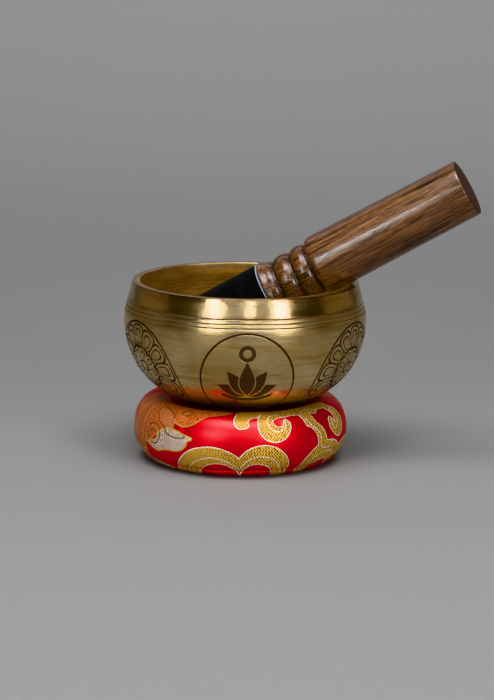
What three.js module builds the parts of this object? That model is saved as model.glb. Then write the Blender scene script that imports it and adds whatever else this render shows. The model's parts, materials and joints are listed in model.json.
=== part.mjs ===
// A metal singing bowl on a round brocade cushion, with a turned wooden mallet resting in the bowl.
// Millimetres, +Z up. The origin is on the bowl's axis, on the surface that the cushion stands on.
import * as THREE from "three";

// ---- Driving dimensions ----------------------------------------------------------------------

// Bowl: radii are of the outer surface, drops are measured down from the rim.
const BOWL_HEIGHT = 60;
const BOWL_RADIUS = 60; // at the widest line of the belly
const BELLY_DROP = 20.5; // from the rim to that line
const HEEL_HEIGHT = 13.9; // above the foot, where the side turns under
const HEEL_INSET = 9; // how much narrower than the belly it is there
const HEEL_ANGLE = 50; // degrees, steepness of the surface there
const FOOT_RADIUS = 21; // flat underside
const SHOULDER_DROP = 12.5; // the straight shoulder runs from the rim down to here
const SHOULDER_LEAN = 14.5; // degrees from the vertical
const RIM_INSET = 4.2; // how much narrower than the belly the rim is
const RIM_WIDTH = 3.5; // from the rim's outer edge to its inner edge
const RIM_CHAMFER = 0.6; // bevel round the rim's outer edge
const RIM_DEPTH = 5; // height of the thicker band behind the rim
const WALL = 2.8; // wall and floor, below the rim

// Three turned grooves round the shoulder, measured down from the rim.
const GROOVE_DROPS = [9.4, 11.6, 13.6];
const GROOVE_WIDTH = 0.8;
const GROOVE_DEPTH = 0.35;

// Cushion: two brocade covers sewn together round the lower edge, over a soft filling.
const CUSHION_RADIUS = 53; // at its widest line
const WAIST_HEIGHT = 16; // height of that line
const SEAT_HEIGHT = 29.3; // the flat that the bowl's foot has pressed down
const CREST_RADIUS = 41; // of the raised ring round the seat
const CREST_SINK = 2.6; // how far the ring's top stays under the bowl
const CUSHION_SHIFT = -2; // the bowl stands a little to the right of the cushion's middle
const SEAM_RADIUS = 48.5; // where the two covers meet
const SEAM_HEIGHT = 3.6;
const BASE_RADIUS = 43; // flat underside
const FABRIC = 1.2; // a lined cover
const THREAD = 0.9; // thickness of the seam's thread

// Mallet: lengths are along its axis.
const SUEDE_LENGTH = 68;
const SUEDE_RADIUS = 14.7;
const SUEDE_THICKNESS = 1.5;
const HANDLE_RADIUS = 15; // of the grip, next to the turned beads
const HANDLE_END_RADIUS = 14.4;
const HANDLE_END_ROUND = 0.9;
const GRIP_LENGTH = 84.7; // from the last groove to the wooden end
const GRIP_SHOULDER = 7; // from the last groove to the full grip
const BEAD_GROOVES = [7.8, 17.2, 26.2]; // from the suede's edge to the middle of each groove
const BEAD_GROOVE_DEPTH = 3.1; // below the grip's surface
const BEAD_DROP = 1.2; // beads are lower than the grip by this
const MALLET_TILT = 29.8; // degrees above the horizontal, at rest
const MALLET_SWING = -9.5; // degrees, the way it points in plan, from +X towards -Y
const MALLET_ON_RIM = -8.5; // degrees round the rim, where it lies on it, from +X towards +Y

// Clearances between pieces that touch.
const GAP = 0.3;

// Facets.
const BOWL_SEGMENTS = 56;
const CUSHION_SEGMENTS = 40;
const MALLET_SEGMENTS = 28;
const THREAD_SIDES = 6;

// ---- Materials -------------------------------------------------------------------------------

const brass = new THREE.MeshStandardMaterial({ color: 0xb59a5b, roughness: 0.28, metalness: 1 });
const walnut = new THREE.MeshStandardMaterial({ color: 0x7a4a2b, roughness: 0.35, metalness: 0 });
const suede = new THREE.MeshStandardMaterial({ color: 0x17181c, roughness: 0.95, metalness: 0 });
const brocade = new THREE.MeshStandardMaterial({ color: 0xc4121c, roughness: 0.5, metalness: 0 });
const wadding = new THREE.MeshStandardMaterial({ color: 0xe6dccb, roughness: 0.9, metalness: 0 });
const goldThread = new THREE.MeshStandardMaterial({ color: 0xd9b56a, roughness: 0.6, metalness: 0 });

// ---- Outlines: points (radius, height), each outline running with its material on the left ----

const at = (radius, height) => new THREE.Vector2(radius, height);
const radians = THREE.MathUtils.degToRad;

// A point at a distance and an angle from another, in an outline's own plane.
function from(point, angle, distance) {
  return at(point.x + Math.cos(angle) * distance, point.y + Math.sin(angle) * distance);
}

// Points of a smooth bend between two ends that leaves along startAngle and arrives along endAngle.
function bend(start, startAngle, end, endAngle, steps, fullness = 0.4) {
  const reach = start.distanceTo(end) * fullness;
  const curve = new THREE.CubicBezierCurve(
    start,
    from(start, startAngle, reach),
    from(end, endAngle, -reach),
    end,
  );
  return curve.getPoints(steps);
}

// The same outline moved to its left by a distance.
function inset(outline, distance) {
  return outline.map((point, i) => {
    const before = outline[Math.max(i - 1, 0)];
    const after = outline[Math.min(i + 1, outline.length - 1)];
    const along = after.clone().sub(before).normalize();
    return at(Math.max(point.x - along.y * distance, 0), point.y + along.x * distance);
  });
}

// A named body of revolution round +Z. An outline that doesn't start on the axis is closed.
function turned(name, outline, segments, material) {
  const closed = outline[0].x > 0 ? [...outline, outline[0].clone()] : outline;
  const mesh = new THREE.Mesh(new THREE.LatheGeometry(closed, segments).rotateX(Math.PI / 2), material);
  mesh.name = name;
  return mesh;
}

// The largest value between low and high up to which fits(value) holds.
function furthest(low, high, fits) {
  const middle = (low + high) / 2;
  if (high - low < 1e-6) return low;
  return fits(middle) ? furthest(middle, high, fits) : furthest(low, middle, fits);
}

// ---- Bowl ------------------------------------------------------------------------------------

const UP = Math.PI / 2;
const RIM_RADIUS = BOWL_RADIUS - RIM_INSET;
const BOWL_REST = SEAT_HEIGHT + GAP; // height of the bowl's foot

// The straight shoulder, from the rim's bevel down.
function shoulder(height) {
  const lean = Math.tan(radians(SHOULDER_LEAN));
  const top = at(RIM_RADIUS + RIM_CHAMFER * 0.7, BOWL_HEIGHT - RIM_CHAMFER);
  return at(top.x + lean * (top.y - height), height);
}

// Outer surface, from the edge of the flat foot up to the straight shoulder.
function bowlBelly() {
  const heel = at(BOWL_RADIUS - HEEL_INSET, HEEL_HEIGHT);
  const belly = at(BOWL_RADIUS, BOWL_HEIGHT - BELLY_DROP);
  const shoulderFoot = shoulder(BOWL_HEIGHT - SHOULDER_DROP);
  const heelAngle = radians(HEEL_ANGLE);
  return [
    ...bend(at(FOOT_RADIUS, 0), radians(4), heel, heelAngle, 7, 0.36),
    ...bend(heel, heelAngle, belly, UP, 7, 0.33).slice(1),
    ...bend(belly, UP, shoulderFoot, UP + radians(SHOULDER_LEAN), 3).slice(1),
  ];
}

// One turned groove, from its lower lip to its upper lip.
function groove(drop) {
  const middle = shoulder(BOWL_HEIGHT - drop);
  return [
    shoulder(middle.y - GROOVE_WIDTH / 2),
    at(middle.x - GROOVE_DEPTH, middle.y),
    shoulder(middle.y + GROOVE_WIDTH / 2),
  ];
}

// Inner surface, from the middle of the floor up to the rim's inner edge.
function bowlInside() {
  const wall = inset(bowlBelly(), WALL);
  return [
    at(0, WALL),
    ...wall,
    at(RIM_RADIUS - RIM_WIDTH + RIM_CHAMFER, BOWL_HEIGHT - RIM_DEPTH),
    at(RIM_RADIUS - RIM_WIDTH, BOWL_HEIGHT),
  ];
}

function bowlOutline() {
  const lowestFirst = [...GROOVE_DROPS].sort((a, b) => b - a);
  return [
    at(0, 0),
    ...bowlBelly().slice(0, -1),
    ...lowestFirst.flatMap(groove),
    shoulder(BOWL_HEIGHT - RIM_CHAMFER),
    at(RIM_RADIUS, BOWL_HEIGHT),
    ...bowlInside().reverse(),
  ];
}

function makeBowl() {
  const group = new THREE.Group();
  group.position.z = BOWL_REST;
  group.add(turned("bowl", bowlOutline(), BOWL_SEGMENTS, brass));
  return group;
}

// ---- Cushion ---------------------------------------------------------------------------------

// Height of the bowl's underside over the cushion's base, at a distance from the bowl's axis.
function bowlUnderside(radius) {
  const surface = bowlBelly();
  const outer = surface.findIndex((point) => point.x > radius);
  if (outer < 1) return BOWL_REST;
  const inner = surface[outer - 1];
  const share = (radius - inner.x) / (surface[outer].x - inner.x);
  return BOWL_REST + inner.y + (surface[outer].y - inner.y) * share;
}

// The seat follows the bowl's underside from the foot's edge and falls away from it to the crest.
function seatPoint(share) {
  const radius = THREE.MathUtils.lerp(FOOT_RADIUS, CREST_RADIUS, share);
  return at(radius, bowlUnderside(radius) - THREE.MathUtils.lerp(GAP, CREST_SINK, share ** 2));
}

// Upper cover's outer surface, from the seam over the crest to the middle of the seat.
function coverTop() {
  const waist = at(CUSHION_RADIUS, WAIST_HEIGHT);
  const seat = [1, 0.8, 0.55, 0.25].map(seatPoint);
  return [
    ...bend(at(SEAM_RADIUS, SEAM_HEIGHT), radians(50), waist, UP, 4, 0.35),
    ...bend(waist, UP, seat[0], 2 * UP, 7, 0.42).slice(1),
    ...seat.slice(1),
    at(FOOT_RADIUS, SEAT_HEIGHT),
    at(0, SEAT_HEIGHT),
  ];
}

// Lower cover's outer surface, from the middle of the flat underside out to the seam.
function coverBase() {
  return [
    at(0, 0),
    ...bend(at(BASE_RADIUS, 0), 0, at(SEAM_RADIUS, SEAM_HEIGHT - GAP), radians(50), 3, 0.35),
  ];
}

// A closed skin between an outer surface and the same surface one fabric thickness in.
function skin(surface) {
  return [...surface, ...inset(surface, FABRIC).reverse()];
}

// The filling lies a gap inside both covers.
function fillingOutline() {
  const depth = FABRIC + GAP;
  const side = inset(coverTop(), depth).filter((point) => point.y > SEAM_HEIGHT + depth);
  return [at(0, depth), at(BASE_RADIUS - depth, depth), ...side];
}

// One continuous thread that closes the seam, lying just outside the line where the covers meet.
function seamThread() {
  const side = THREAD / 2;
  const middle = at(SEAM_RADIUS + side + GAP, SEAM_HEIGHT - GAP / 2 - side * 0.5);
  const ring = Array.from({ length: THREAD_SIDES }, (_, i) =>
    from(middle, (i / THREAD_SIDES) * Math.PI * 2, side),
  );
  return turned("cushion_seam_thread", ring, CUSHION_SEGMENTS, goldThread);
}

function makeCushion() {
  const group = new THREE.Group();
  group.position.x = CUSHION_SHIFT;
  const part = (name, outline, material) => turned(name, outline, CUSHION_SEGMENTS, material);
  group.add(part("cushion_upper_cover", skin(coverTop()), brocade));
  group.add(part("cushion_lower_cover", skin(coverBase()), brocade));
  group.add(part("cushion_filling", fillingOutline(), wadding));
  group.add(seamThread());
  return group;
}

// ---- Mallet: built along +Z from its sueded tip ----------------------------------------------

const LAST_GROOVE = SUEDE_LENGTH + Math.max(...BEAD_GROOVES);
const MALLET_LENGTH = LAST_GROOVE + GRIP_LENGTH;
const CORE_RADIUS = SUEDE_RADIUS - SUEDE_THICKNESS - GAP;
const GROOVE_FLOOR = HANDLE_RADIUS - BEAD_GROOVE_DEPTH;
const BEAD_RADIUS = HANDLE_RADIUS - BEAD_DROP;

// Rounded beads between the suede and the grip, with a narrow groove after each.
function beads() {
  let start = SUEDE_LENGTH + GAP;
  let startRadius = SUEDE_RADIUS;
  return BEAD_GROOVES.flatMap((distance) => {
    const end = SUEDE_LENGTH + distance;
    const top = at(BEAD_RADIUS, (start + end) / 2);
    const rising = bend(at(startRadius, start), radians(20), top, UP, 2, 0.3);
    const falling = bend(top, UP, at(GROOVE_FLOOR, end), radians(170), 3, 0.35);
    start = end;
    startRadius = GROOVE_FLOOR;
    return [...rising, ...falling.slice(1, -1), at(GROOVE_FLOOR, end)];
  });
}

function woodOutline() {
  const gripStart = at(HANDLE_RADIUS, LAST_GROOVE + GRIP_SHOULDER);
  return [
    at(0, 0),
    at(CORE_RADIUS, 0),
    at(CORE_RADIUS, SUEDE_LENGTH + GAP),
    ...beads(),
    ...bend(at(GROOVE_FLOOR, LAST_GROOVE), radians(20), gripStart, UP, 3, 0.35).slice(1),
    ...bend(
      at(HANDLE_END_RADIUS, MALLET_LENGTH - HANDLE_END_ROUND),
      UP,
      at(HANDLE_END_RADIUS - HANDLE_END_ROUND, MALLET_LENGTH),
      2 * UP,
      2,
    ),
    at(0, MALLET_LENGTH),
  ];
}

function suedeOutline() {
  return [
    at(SUEDE_RADIUS, 0),
    at(SUEDE_RADIUS, SUEDE_LENGTH),
    at(SUEDE_RADIUS - SUEDE_THICKNESS, SUEDE_LENGTH),
    at(SUEDE_RADIUS - SUEDE_THICKNESS, 0),
  ];
}

// The resting mallet touches the bowl twice: its side on the rim, and its tip on the inner wall.
const swing = radians(MALLET_SWING);
const tilt = radians(MALLET_TILT);
const malletAxis = new THREE.Vector3(
  Math.cos(tilt) * Math.cos(swing),
  Math.cos(tilt) * Math.sin(swing),
  Math.sin(tilt),
);
const malletLift = new THREE.Vector3(
  -Math.sin(tilt) * Math.cos(swing),
  -Math.sin(tilt) * Math.sin(swing),
  Math.cos(tilt),
);

// A ring of points round +Z in the bowl's own frame.
function ringPoints(radius, height, count, first = 0, sweep = Math.PI * 2) {
  return Array.from({ length: count }, (_, i) => {
    const angle = first + (i / count) * sweep;
    return new THREE.Vector3(Math.cos(angle) * radius, Math.sin(angle) * radius, height);
  });
}

// Distance from a point to the mallet's axis through another point.
function offAxis(point, onAxis) {
  return point.clone().sub(onAxis).cross(malletAxis).length();
}

// Distance from a point inside the bowl to its inner surface, negative past it.
function insideDistance(point, wall) {
  const radius = Math.hypot(point.x, point.y);
  const here = at(radius, point.z);
  let nearest = Infinity;
  let sign = 1;
  for (let i = 1; i < wall.length; i++) {
    const along = wall[i].clone().sub(wall[i - 1]);
    const reach = here.clone().sub(wall[i - 1]);
    const share = THREE.MathUtils.clamp(reach.dot(along) / along.lengthSq(), 0, 1);
    const away = reach.clone().sub(along.clone().multiplyScalar(share));
    if (away.length() >= nearest) continue;
    nearest = away.length();
    sign = along.cross(reach) >= 0 ? 1 : -1;
  }
  return nearest * sign;
}

// Where the middle of the mallet's tip lies, in the bowl's own frame.
function malletTip() {
  const innerEdge = RIM_RADIUS - RIM_WIDTH;
  const rim = ringPoints(innerEdge, BOWL_HEIGHT, 240, radians(MALLET_ON_RIM - 60), radians(120));
  const onRim = ringPoints(innerEdge, BOWL_HEIGHT, 1, radians(MALLET_ON_RIM))[0];
  const above = (rise) => onRim.clone().addScaledVector(malletLift, rise);
  const rise = furthest(0, HANDLE_RADIUS * 3, (up) =>
    rim.some((point) => offAxis(point, above(up)) < HANDLE_RADIUS + GAP),
  );
  const wall = bowlInside();
  const turn = new THREE.Quaternion().setFromUnitVectors(new THREE.Vector3(0, 0, 1), malletAxis);
  const tipEdge = ringPoints(SUEDE_RADIUS, 0, 48).map((point) => point.applyQuaternion(turn));
  const tipAt = (depth) => above(rise).addScaledVector(malletAxis, -depth);
  const depth = furthest(SUEDE_RADIUS, BOWL_RADIUS * 3, (down) =>
    tipEdge.every((edge) => insideDistance(tipAt(down).add(edge), wall) > GAP),
  );
  return tipAt(depth);
}

function makeMallet() {
  const group = new THREE.Group();
  group.quaternion.setFromUnitVectors(new THREE.Vector3(0, 0, 1), malletAxis);
  group.position.copy(malletTip());
  group.position.z += BOWL_REST;
  group.add(turned("mallet_handle", woodOutline(), MALLET_SEGMENTS, walnut));
  group.add(turned("mallet_suede_sleeve", suedeOutline(), MALLET_SEGMENTS, suede));
  return group;
}

const singingBowlSet = new THREE.Group();
singingBowlSet.add(makeCushion(), makeBowl(), makeMallet());

export default singingBowlSet;
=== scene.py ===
"""A metal singing bowl on a round brocade cushion, with a sueded wooden mallet resting in it.

Everything is in metres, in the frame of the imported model: +Z up, -Y towards the viewer, the origin on
the bowl's axis where the cushion stands. Each sub-assembly is a class that builds and dresses its pieces.
"""
import json
import logging
import math
from dataclasses import dataclass
from enum import Enum

import bmesh
import bpy
import numpy as np
from mathutils import Matrix, Vector, noise
from mathutils.geometry import interpolate_bezier


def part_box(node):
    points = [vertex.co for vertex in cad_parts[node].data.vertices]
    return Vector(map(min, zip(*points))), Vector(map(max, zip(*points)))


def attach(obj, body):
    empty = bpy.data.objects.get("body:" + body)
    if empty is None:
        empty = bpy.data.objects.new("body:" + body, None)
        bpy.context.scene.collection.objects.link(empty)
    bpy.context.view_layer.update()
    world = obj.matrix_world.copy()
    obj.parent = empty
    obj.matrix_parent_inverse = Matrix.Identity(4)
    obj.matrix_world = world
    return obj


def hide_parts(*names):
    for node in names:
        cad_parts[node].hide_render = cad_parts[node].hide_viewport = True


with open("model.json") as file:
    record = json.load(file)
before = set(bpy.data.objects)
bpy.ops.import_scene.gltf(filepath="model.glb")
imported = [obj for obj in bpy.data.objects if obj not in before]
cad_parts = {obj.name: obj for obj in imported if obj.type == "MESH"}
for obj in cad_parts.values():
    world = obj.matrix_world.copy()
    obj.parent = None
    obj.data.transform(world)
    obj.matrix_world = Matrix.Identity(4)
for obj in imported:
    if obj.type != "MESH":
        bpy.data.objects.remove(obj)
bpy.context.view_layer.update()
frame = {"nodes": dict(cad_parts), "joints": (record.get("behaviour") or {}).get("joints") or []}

log = logging.getLogger("singing_bowl")

MM = 0.001
UP = Vector((0.0, 0.0, 1.0))
MIX_BASE, MIX_OVER, MIX_RESULT = 6, 7, 2  # the Mix node's colour sockets, by their places
Profile = list[Vector]
Colour = tuple[float, float, float]
Place = tuple[float, float, float]


# ---- Shader arithmetic -------------------------------------------------------------------------


class Wire:
    """A socket that carries a number, so that an expression on wires adds its Math nodes."""

    def __init__(self, shade: "Shade", socket: bpy.types.NodeSocket) -> None:
        """Keeps the socket and the material that it belongs to."""
        self.shade = shade
        self.socket = socket

    def math(self, operation: str, *others: "Wire | float") -> "Wire":
        """Adds one Math node that starts from this wire."""
        return self.shade.wire("ShaderNodeMath", {"operation": operation}, [self, *others])

    def __add__(self, other: "Wire | float") -> "Wire":
        """Sum."""
        return self.math("ADD", other)

    __radd__ = __add__

    def __sub__(self, other: "Wire | float") -> "Wire":
        """Difference."""
        return self.math("SUBTRACT", other)

    def __rsub__(self, other: float) -> "Wire":
        """A number less this wire."""
        return self.shade.wire("ShaderNodeMath", {"operation": "SUBTRACT"}, [other, self])

    def __mul__(self, other: "Wire | float") -> "Wire":
        """Product."""
        return self.math("MULTIPLY", other)

    __rmul__ = __mul__

    def __truediv__(self, other: "Wire | float") -> "Wire":
        """Quotient."""
        return self.math("DIVIDE", other)

    def __pow__(self, other: float) -> "Wire":
        """Power."""
        return self.math("POWER", other)

    def __abs__(self) -> "Wire":
        """Size without its sign."""
        return self.math("ABSOLUTE")

    def __or__(self, other: "Wire") -> "Wire":
        """Where either mask is on."""
        return self.math("MAXIMUM", other)


class Shade:
    """A material under construction, with one Principled shader."""

    def __init__(self, name: str, **constants: float | Colour) -> None:
        """Starts the material.

        Args:
            name: the material's name.
            constants: Principled inputs that are the same all over, with _ for each space.
        """
        self.material = bpy.data.materials.new(name)
        self.material.use_nodes = True
        self.tree = self.material.node_tree
        self.shader = self.tree.nodes["Principled BSDF"]
        for key, value in constants.items():
            socket = self.shader.inputs[key.replace("_", " ")]
            socket.default_value = (*value, 1.0) if isinstance(value, tuple) else value
        self.place = self.node("ShaderNodeTexCoord", {}, {}).outputs["Object"]

    def node(self, kind: str, settings: dict, inputs: dict | list) -> bpy.types.Node:
        """Adds one node.

        Args:
            kind: the node's type.
            settings: its properties, which are set first.
            inputs: values, wires or sockets for its inputs, by name or in order.

        Returns:
            The node.
        """
        made = self.tree.nodes.new(kind)
        for key, value in settings.items():
            setattr(made, key, value)
        pairs = inputs.items() if isinstance(inputs, dict) else enumerate(inputs)
        for key, value in pairs:
            socket = made.inputs[key]
            if isinstance(value, Wire):
                self.tree.links.new(value.socket, socket)
            elif isinstance(value, bpy.types.NodeSocket):
                self.tree.links.new(value, socket)
            elif isinstance(value, tuple) and socket.type == "RGBA":
                socket.default_value = (*value, 1.0)
            else:
                socket.default_value = value
        return made

    def wire(self, kind: str, settings: dict, inputs: dict | list, output: int | str = 0) -> Wire:
        """Adds one node and returns one of its outputs as a wire."""
        return Wire(self, self.node(kind, settings, inputs).outputs[output])

    def axes(self, vector: bpy.types.NodeSocket | None = None) -> tuple[Wire, Wire, Wire]:
        """Splits a vector, by default the object's own coordinates, into its three numbers."""
        split = self.node("ShaderNodeSeparateXYZ", {}, [vector or self.place])
        return tuple(Wire(self, split.outputs[i]) for i in range(3))

    def vector(self, x: Wire | float, y: Wire | float, z: Wire | float) -> bpy.types.NodeSocket:
        """Joins three numbers into a vector."""
        return self.node("ShaderNodeCombineXYZ", {}, [x, y, z]).outputs[0]

    def along(self, direction: Vector, start: Vector) -> Wire:
        """Measures how far each point is from a start along a direction.

        Args:
            direction: a unit vector.
            start: the place where the distance is 0.

        Returns:
            The distance in metres.
        """
        moved = self.node("ShaderNodeVectorMath", {"operation": "SUBTRACT"}, [self.place, tuple(start)])
        inputs = [moved.outputs[0], tuple(direction)]
        return self.wire("ShaderNodeVectorMath", {"operation": "DOT_PRODUCT"}, inputs, "Value")

    def attribute(self, name: str) -> Wire:
        """A number that the mesh carries at its points."""
        return self.wire("ShaderNodeAttribute", {"attribute_name": name}, [], "Fac")

    def ramp(
        self, value: Wire, low: float, high: float, to_low: float = 0.0, to_high: float = 1.0
    ) -> Wire:
        """Carries a value smoothly from one range to another, and holds it at both ends.

        Args:
            value: what is carried over.
            low: where its own range starts.
            high: where its own range ends.
            to_low: the result at and below low.
            to_high: the result at and above high.

        Returns:
            The new value.
        """
        inputs = {"Value": value, "From Min": low, "From Max": high, "To Min": to_low, "To Max": to_high}
        return self.wire("ShaderNodeMapRange", {"interpolation_type": "SMOOTHSTEP"}, inputs)

    def line(self, distance: Wire, half_width: float, softness: float) -> Wire:
        """A mask that is 1 within a half width of where a distance is 0."""
        return self.ramp(abs(distance), half_width - softness, half_width + softness, 1.0, 0.0)

    def noise(
        self,
        place: bpy.types.NodeSocket,
        scale: float = 1.0,
        detail: float = 3.0,
        roughness: float = 0.5,
        distortion: float = 0.0,
    ) -> Wire:
        """Adds cloudy noise from 0 to 1.

        Args:
            place: its coordinates, which are stretched for streaks and fibres.
            scale: how fine it is.
            detail: how many finer layers it has.
            roughness: how strong the finer layers are.
            distortion: how far it is swirled.

        Returns:
            The noise.
        """
        inputs = {"Vector": place, "Scale": scale, "Detail": detail, "Roughness": roughness}
        inputs["Distortion"] = distortion
        return self.wire("ShaderNodeTexNoise", {"noise_dimensions": "3D"}, inputs, "Fac")

    def mix(
        self,
        factor: Wire | float,
        base: Colour | bpy.types.NodeSocket,
        over: Colour | bpy.types.NodeSocket,
    ) -> bpy.types.NodeSocket:
        """Lays one colour over another.

        Args:
            factor: how much of the upper one shows.
            base: the lower colour.
            over: the upper colour.

        Returns:
            The mixed colour.
        """
        inputs = {"Factor": factor, MIX_BASE: base, MIX_OVER: over}
        return self.node("ShaderNodeMix", {"data_type": "RGBA"}, inputs).outputs[MIX_RESULT]

    def finish(
        self, colour: bpy.types.NodeSocket, height: Wire, depth: float, **varying: Wire
    ) -> bpy.types.Material:
        """Connects what varies over the surface.

        Args:
            colour: the base colour.
            height: a relief from 0 to 1.
            depth: how deep the relief is, in metres.
            varying: other Principled inputs, such as Roughness or Metallic.

        Returns:
            The finished material.
        """
        self.tree.links.new(colour, self.shader.inputs["Base Color"])
        for key, value in varying.items():
            self.tree.links.new(value.socket, self.shader.inputs[key.replace("_", " ")])
        bump = self.node("ShaderNodeBump", {}, {"Height": height, "Distance": depth, "Strength": 1.0})
        self.tree.links.new(bump.outputs[0], self.shader.inputs["Normal"])
        return self.material


# ---- Mesh making -------------------------------------------------------------------------------


SAME_POINT = 1e-7  # metres between two points that count as one
CORNER_MERGE = 1e-6  # metres between corners that a spin's seam and poles merge


def point(radius: float, height: float) -> Vector:
    """A point of an outline that is spun round the Z axis."""
    return Vector((radius, 0.0, height))


def away(start: Vector, degrees: float, distance: float) -> Vector:
    """A point at a distance and an angle from another, in an outline's plane."""
    angle = math.radians(degrees)
    return start + point(math.cos(angle) * distance, math.sin(angle) * distance)


def bend(
    start: Vector, leave: float, end: Vector, arrive: float, steps: int, fullness: float = 0.4
) -> Profile:
    """A smooth stretch of outline.

    Args:
        start: where it begins.
        leave: its angle there, in degrees.
        end: where it ends.
        arrive: its angle there, in degrees.
        steps: how many points it has.
        fullness: how far its handles reach, as a share of its length.

    Returns:
        Its points, with both ends.
    """
    reach = (end - start).length * fullness
    return interpolate_bezier(start, away(start, leave, reach), away(end, arrive, -reach), end, steps)


def inset(outline: Profile, distance: float) -> Profile:
    """Moves an outline sideways, for a wall of even thickness.

    Args:
        outline: its points.
        distance: how far it moves to its left.

    Returns:
        The moved points, none past the axis.
    """
    moved = []
    for i, here in enumerate(outline):
        step = (outline[min(i + 1, len(outline) - 1)] - outline[max(i - 1, 0)]).normalized()
        moved.append(point(max(here.x - step.z * distance, 0.0), here.z + step.x * distance))
    return moved


def joined(*stretches: Profile) -> Profile:
    """Joins stretches of outline end to end.

    Args:
        stretches: the stretches, in order.

    Returns:
        All their points, without those that two stretches share.
    """
    whole: Profile = []
    for stretch in stretches:
        for here in stretch:
            if not whole or (here - whole[-1]).length > SAME_POINT:
                whole.append(here)
    return whole


def spun(outline: Profile, segments: int, closed: bool = False) -> bmesh.types.BMesh:
    """Spins an outline right round the Z axis.

    Args:
        outline: the points, in the XZ plane.
        segments: how many faces go round.
        closed: whether the last point is joined back to the first.

    Returns:
        The mesh, with its faces outwards.
    """
    mesh = bmesh.new()
    corners = [mesh.verts.new(here) for here in outline]
    pairs = list(zip(corners, corners[1:]))
    if closed:
        pairs.append((corners[-1], corners[0]))
    edges = [mesh.edges.new(pair) for pair in pairs]
    bmesh.ops.spin(
        mesh,
        geom=corners + edges,
        cent=(0, 0, 0),
        axis=(0, 0, 1),
        angle=2 * math.pi,
        steps=segments,
        use_merge=True,
        use_duplicate=False,
    )
    bmesh.ops.remove_doubles(mesh, verts=mesh.verts, dist=CORNER_MERGE)
    bmesh.ops.recalc_face_normals(mesh, faces=mesh.faces)
    return mesh


def finished(
    name: str, mesh: bmesh.types.BMesh, material: bpy.types.Material | None = None
) -> bpy.types.Object:
    """Turns a bmesh into a smooth object at the origin.

    Args:
        name: the object's name.
        mesh: its shape, which is freed.
        material: its material, which a working shape doesn't need.

    Returns:
        The object.
    """
    data = bpy.data.meshes.new(name)
    mesh.to_mesh(data)
    mesh.free()
    data.polygons.foreach_set("use_smooth", [True] * len(data.polygons))
    if material:
        data.materials.append(material)
    made = bpy.data.objects.new(name, data)
    bpy.context.scene.collection.objects.link(made)
    return made


# ---- Finishes ----------------------------------------------------------------------------------


@dataclass(frozen=True)
class Medallions:
    """Round pictures etched into the bowl's side, as if pressed in level from outside."""

    height: float = 21.8 * MM  # of their centres, above the bowl's foot
    radius: float = 22.3 * MM
    line: float = 0.42 * MM  # half width of the border
    bloom_azimuth: float = -88.6  # the front one, with the lotus bloom
    count: int = 6  # the others are rosettes
    spread: float = 1.65  # degrees that the two beside the front one are further away than even
    petals: int = 12
    petal_turn: float = 14.0  # degrees, of the first petal's middle
    heart_radius: float = 10.4 * MM
    fine_line: float = 0.25 * MM  # half width of the rosette's inner circles
    soft: float = 0.08 * MM  # how softly a line's edge ends


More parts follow.
